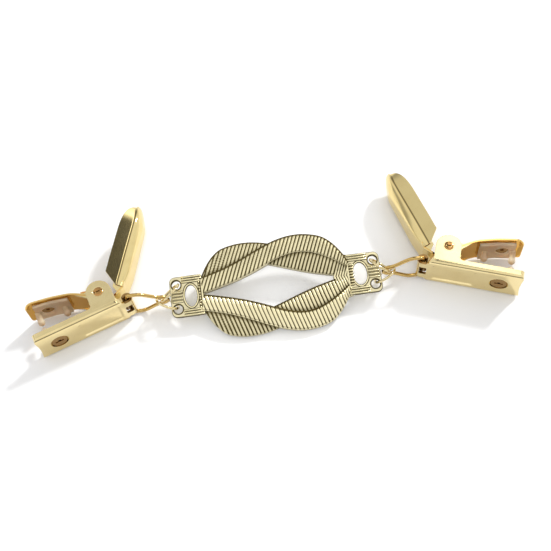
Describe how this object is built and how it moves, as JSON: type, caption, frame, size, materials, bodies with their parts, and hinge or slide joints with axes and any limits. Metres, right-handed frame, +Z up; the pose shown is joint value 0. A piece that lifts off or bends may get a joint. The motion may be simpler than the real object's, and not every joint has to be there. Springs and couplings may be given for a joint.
{
  "type": "dress cincher clip",
  "caption": "Garment cincher: a twisted ribbed ribbon ornament joined by jump rings and wire links to a sprung lever clip at each end.",
  "frame": {"origin": "on the surface that the clips lie on, under the centre of the whole piece", "axes": "+X along the ornament from the left clip to the right clip, +Z up from the surface, -Y toward the viewer"},
  "size_m": [0.1404, 0.0468, 0.011],
  "materials": {
    "antique_gold": "antiqued champagne gold with dark grooves",
    "ring_gold": "polished gold plated wire",
    "link_gold": "polished gold plated wire",
    "clip_gold": "polished pale champagne gold plating",
    "lever_gold": "polished pale champagne gold plating",
    "spring_copper": "copper-toned spring wire",
    "pad_milky": "translucent milky plastic",
    "eyelet_gold": "gold plated, brown in the recesses"
  },
  "bodies": {
    "ornament": {"ornament": "antique_gold"},
    "right_ring_far": {"right_ring_far": "ring_gold"},
    "right_ring_near": {"right_ring_near": "ring_gold"},
    "right_link": {"right_link": "link_gold"},
    "right_clip": {"right_clip_body": "clip_gold", "right_lower_pad": "pad_milky", "right_lower_eyelet": "eyelet_gold", "right_spring": "spring_copper"},
    "right_jaw": {"right_clip_arm": "lever_gold", "right_upper_pad": "pad_milky", "right_upper_eyelet": "eyelet_gold"},
    "left_ring_far": {"left_ring_far": "ring_gold"},
    "left_ring_near": {"left_ring_near": "ring_gold"},
    "left_link": {"left_link": "link_gold"},
    "left_clip": {"left_clip_body": "clip_gold", "left_lower_pad": "pad_milky", "left_lower_eyelet": "eyelet_gold", "left_spring": "spring_copper"},
    "left_jaw": {"left_clip_arm": "lever_gold", "left_upper_pad": "pad_milky", "left_upper_eyelet": "eyelet_gold"}
  },
  "joints": [
    {"name": "right_ring_far_swing", "type": "hinge", "parent": "ornament", "child": "right_ring_far", "pos_m": [0.0278, -0.01008, 0.0055], "axis": [0, -0.9613, -0.2756], "range_deg": [-10, 10]},
    {"name": "right_ring_near_swing", "type": "hinge", "parent": "ornament", "child": "right_ring_near", "pos_m": [0.0278, -0.01008, 0.0055], "axis": [0, -0.9613, -0.2756], "range_deg": [-10, 10]},
    {"name": "right_link_swing", "type": "hinge", "parent": "right_ring_far", "child": "right_link", "pos_m": [0.03222, -0.01008, 0.0055], "axis": [0, -1, 0], "range_deg": [-12, 12]},
    {"name": "right_clip_swing", "type": "hinge", "parent": "right_link", "child": "right_clip", "pos_m": [0.04147, -0.01008, 0.0055], "axis": [0, 0, 1], "range_deg": [-75, 30]},
    {"name": "right_jaw_open", "type": "hinge", "parent": "right_clip", "child": "right_jaw", "pos_m": [0.04898, -0.00787, 0.0055], "axis": [0, 0, 1], "range_deg": [0, 18], "stiffness_Nm_per_rad": 0.12, "springref_deg": -34.38, "deforming": ["right_spring"]},
    {"name": "left_ring_far_swing", "type": "hinge", "parent": "ornament", "child": "left_ring_far", "pos_m": [-0.0278, -0.01008, 0.0055], "axis": [0, 0.9613, 0.2756], "range_deg": [-10, 10]},
    {"name": "left_ring_near_swing", "type": "hinge", "parent": "ornament", "child": "left_ring_near", "pos_m": [-0.0278, -0.01008, 0.0055], "axis": [0, 0.9613, 0.2756], "range_deg": [-10, 10]},
    {"name": "left_link_swing", "type": "hinge", "parent": "left_ring_far", "child": "left_link", "pos_m": [-0.03222, -0.01008, 0.0055], "axis": [0, 1, 0], "range_deg": [-12, 12]},
    {"name": "left_clip_swing", "type": "hinge", "parent": "left_link", "child": "left_clip", "pos_m": [-0.04147, -0.01008, 0.0055], "axis": [0, 0, -1], "range_deg": [-75, 30]},
    {"name": "left_jaw_open", "type": "hinge", "parent": "left_clip", "child": "left_jaw", "pos_m": [-0.04898, -0.00787, 0.0055], "axis": [0, 0, -1], "range_deg": [0, 18], "stiffness_Nm_per_rad": 0.12, "springref_deg": -34.38, "deforming": ["left_spring"]}
  ],
  "couplings": [
    {"joint": "right_ring_near_swing", "follows": "right_ring_far_swing", "ratio": 1},
    {"joint": "left_ring_near_swing", "follows": "left_ring_far_swing", "ratio": 1}
  ]
}
